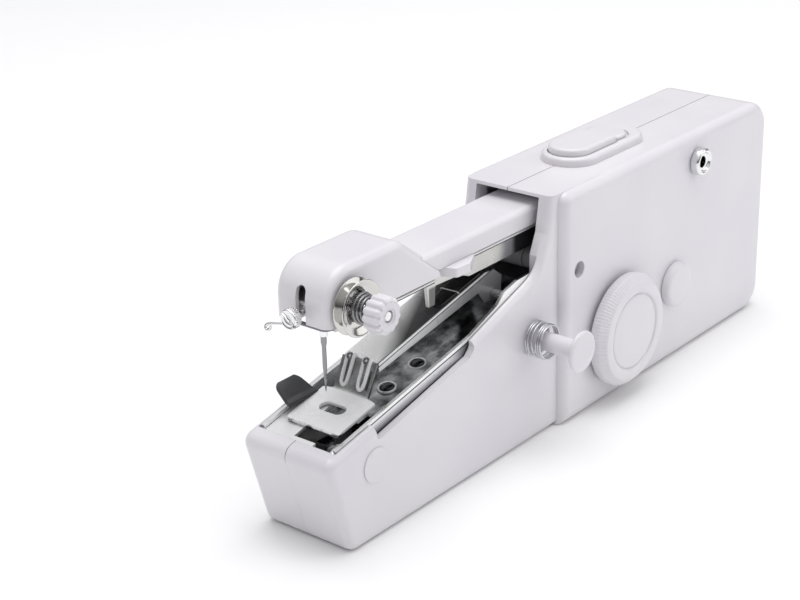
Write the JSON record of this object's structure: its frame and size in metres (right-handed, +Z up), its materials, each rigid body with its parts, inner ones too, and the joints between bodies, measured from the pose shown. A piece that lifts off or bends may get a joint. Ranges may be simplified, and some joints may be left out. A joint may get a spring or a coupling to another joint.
{
  "type": "handheld sewing machine",
  "caption": "Hand-held battery sewing machine with a long lower arm, a pivoting needle arm, presser foot, thread tension knob, hand wheel and thread stand.",
  "frame": {"origin": "on the underside, on the seam plane between the two shells, directly below the front face of the rear housing", "axes": "+X along the machine from the needle end to the battery end, -Y towards the hand wheel side, +Z up"},
  "size_m": [0.2037, 0.048, 0.0724],
  "materials": {
    "white_plastic": "semi-gloss moulded white",
    "chrome": "bright nickel plated sheet steel",
    "steel": "satin",
    "dark_steel": "dark spring steel",
    "black_plastic": "satin black",
    "nylon": "natural nylon",
    "brass": "turned",
    "cell_sleeve": "plain wrapped sleeve"
  },
  "bodies": {
    "housing": {"wheel_side_shell": "white_plastic", "plain_side_shell": "white_plastic", "shell_screws": "steel", "side_cap": "white_plastic", "switch_plate": "white_plastic", "switch_body": "black_plastic", "dc_jack_bushing": "chrome", "dc_jack_body": "black_plastic", "battery_cells": "cell_sleeve", "battery_springs": "chrome", "battery_contacts": "chrome", "shaft_bushes": "brass", "reduction_shaft": "steel", "gear_plate": "steel", "gear_plate_screws": "steel", "motor_can": "steel", "motor_end_cap": "black_plastic", "arm_pivot_pin": "steel", "lower_frame": "chrome", "frame_rivets": "chrome", "needle_plate": "chrome", "looper_guard": "black_plastic", "presser_pivot_pin": "steel", "looper_pin": "steel"},
    "drive_shaft": {"hand_wheel": "white_plastic", "main_shaft": "steel", "main_gear": "nylon", "crank_and_cam": "steel", "crank_pin": "steel"},
    "reduction": {"reduction_gear": "nylon"},
    "motor_rotor": {"motor_shaft": "steel", "motor_pinion": "brass"},
    "needle_arm": {"arm_frame": "chrome", "pivot_sleeve": "steel", "drive_lever": "steel", "arm_cover": "white_plastic", "head_cover": "white_plastic", "thread_guide": "white_plastic", "needle_clamp": "chrome", "needle": "chrome", "clamp_bracket": "chrome", "thread_hook": "chrome", "tension_stud": "chrome", "tension_discs": "chrome", "tension_spring": "dark_steel"},
    "tension_nut": {"tension_knob": "white_plastic"},
    "clamp_screw": {"needle_screw": "chrome"},
    "presser": {"presser_arm": "chrome", "presser_foot": "chrome", "presser_tab": "black_plastic"},
    "slide_rod": {"drive_rod": "steel", "feed_dog": "chrome"},
    "looper_hook": {"looper": "chrome"},
    "button": {"power_button": "white_plastic"},
    "plunger": {"switch_plunger": "nylon"},
    "lock": {"lock_slider": "white_plastic"},
    "thread_stand": {"spool_pin": "white_plastic", "spool_spring": "chrome"},
    "battery_hatch": {"battery_door": "white_plastic"}
  },
  "joints": [
    {"name": "hand_wheel_turn", "type": "hinge", "parent": "housing", "child": "drive_shaft", "pos_m": [0.027, 0, 0.021], "axis": [0, -1, 0], "range_deg": [0, 180]},
    {"name": "needle_arm_swing", "type": "hinge", "parent": "housing", "child": "needle_arm", "pos_m": [0.014, 0, 0.056], "axis": [0, -1, 0], "range_deg": [0, 11.78]},
    {"name": "reduction_gear_turn", "type": "hinge", "parent": "housing", "child": "reduction", "pos_m": [0.03637, 0, 0.03724], "axis": [0, -1, 0], "range_deg": [-720, 0]},
    {"name": "motor_shaft_turn", "type": "hinge", "parent": "housing", "child": "motor_rotor", "pos_m": [0.04609, 0, 0.04766], "axis": [0, -1, 0], "range_deg": [0, 2700]},
    {"name": "drive_rod_slide", "type": "slide", "parent": "housing", "child": "slide_rod", "axis": [1, 0, 0], "range_m": [0, 0.004]},
    {"name": "looper_swing", "type": "hinge", "parent": "housing", "child": "looper_hook", "pos_m": [-0.066, 0.006, 0.0199], "axis": [0, 0, 1], "range_deg": [0, 20.56]},
    {"name": "presser_lift", "type": "hinge", "parent": "housing", "child": "presser", "pos_m": [-0.017, 0, 0.0436], "axis": [0, -1, 0], "range_deg": [-10, 0], "stiffness_Nm_per_rad": 0.02, "springref_deg": 20.05},
    {"name": "power_button_press", "type": "slide", "parent": "housing", "child": "button", "axis": [0, 0, -1], "range_m": [0, 0.0016], "stiffness_N_per_m": 300, "springref_m": -0.001},
    {"name": "switch_plunger_press", "type": "slide", "parent": "housing", "child": "plunger", "axis": [0, 0, -1], "range_m": [0, 0.0016]},
    {"name": "lock_slide", "type": "slide", "parent": "housing", "child": "lock", "axis": [-1, 0, 0], "range_m": [0, 0.0012]},
    {"name": "tension_knob_turn", "type": "hinge", "parent": "needle_arm", "child": "tension_nut", "pos_m": [-0.0778, -0.0195, 0.0618], "axis": [0, -1, 0], "range_deg": [-360, 360]},
    {"name": "needle_screw_turn", "type": "hinge", "parent": "needle_arm", "child": "clamp_screw", "pos_m": [-0.085, 0, 0.06], "axis": [-1, 0, 0], "range_deg": [0, 720]},
    {"name": "spool_pin_slide", "type": "slide", "parent": "housing", "child": "thread_stand", "axis": [0, -1, 0], "range_m": [0, 0.006]},
    {"name": "battery_door_swing", "type": "hinge", "parent": "housing", "child": "battery_hatch", "pos_m": [0.0539, 0, 0.0009], "axis": [0, 1, 0], "range_deg": [0, 95]}
  ],
  "couplings": [
    {"joint": "needle_arm_swing", "follows": "hand_wheel_turn", "ratio": 0.065415},
    {"joint": "reduction_gear_turn", "follows": "hand_wheel_turn", "ratio": -4},
    {"joint": "motor_shaft_turn", "follows": "hand_wheel_turn", "ratio": 15},
    {"joint": "drive_rod_slide", "follows": "hand_wheel_turn", "m_per_rad": 0.0012732},
    {"joint": "looper_swing", "follows": "hand_wheel_turn", "ratio": 0.11419},
    {"joint": "switch_plunger_press", "follows": "power_button_press", "ratio": 1}
  ]
}
